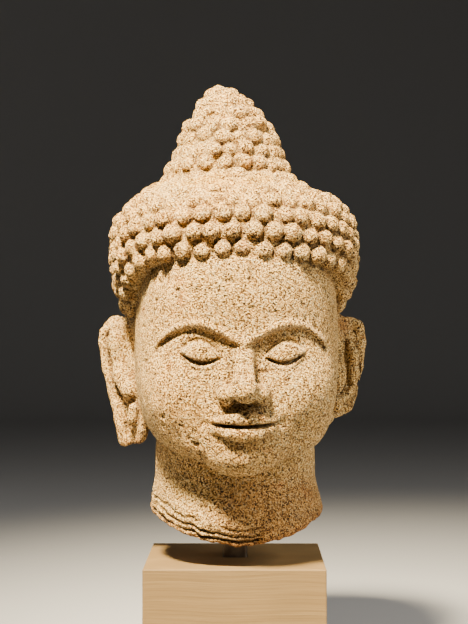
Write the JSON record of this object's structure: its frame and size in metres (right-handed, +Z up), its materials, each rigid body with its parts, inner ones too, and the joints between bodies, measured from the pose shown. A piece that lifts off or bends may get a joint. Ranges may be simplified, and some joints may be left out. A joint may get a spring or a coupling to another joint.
{
  "type": "stone buddha head on a display mount",
  "caption": "Carved sandstone head with rows of round hair locks, a tall crown and long ears, broken at the neck, on a square rod in a painted block.",
  "frame": {"origin": "centre of the display block's underside", "axes": "+Z up, the face looks along -Y and +X is at the viewer's right"},
  "size_m": [0.1791, 0.1931, 0.3872],
  "materials": {
    "sandstone": "matte weathered sandstone with coarse grains and small pits",
    "steel": "dark, waxed and satin",
    "paint": "matte sand-coloured paint, brushed"
  },
  "bodies": {
    "root": {"stone_head": "sandstone", "steel_rod": "steel", "display_block": "paint"}
  },
  "joints": []
}
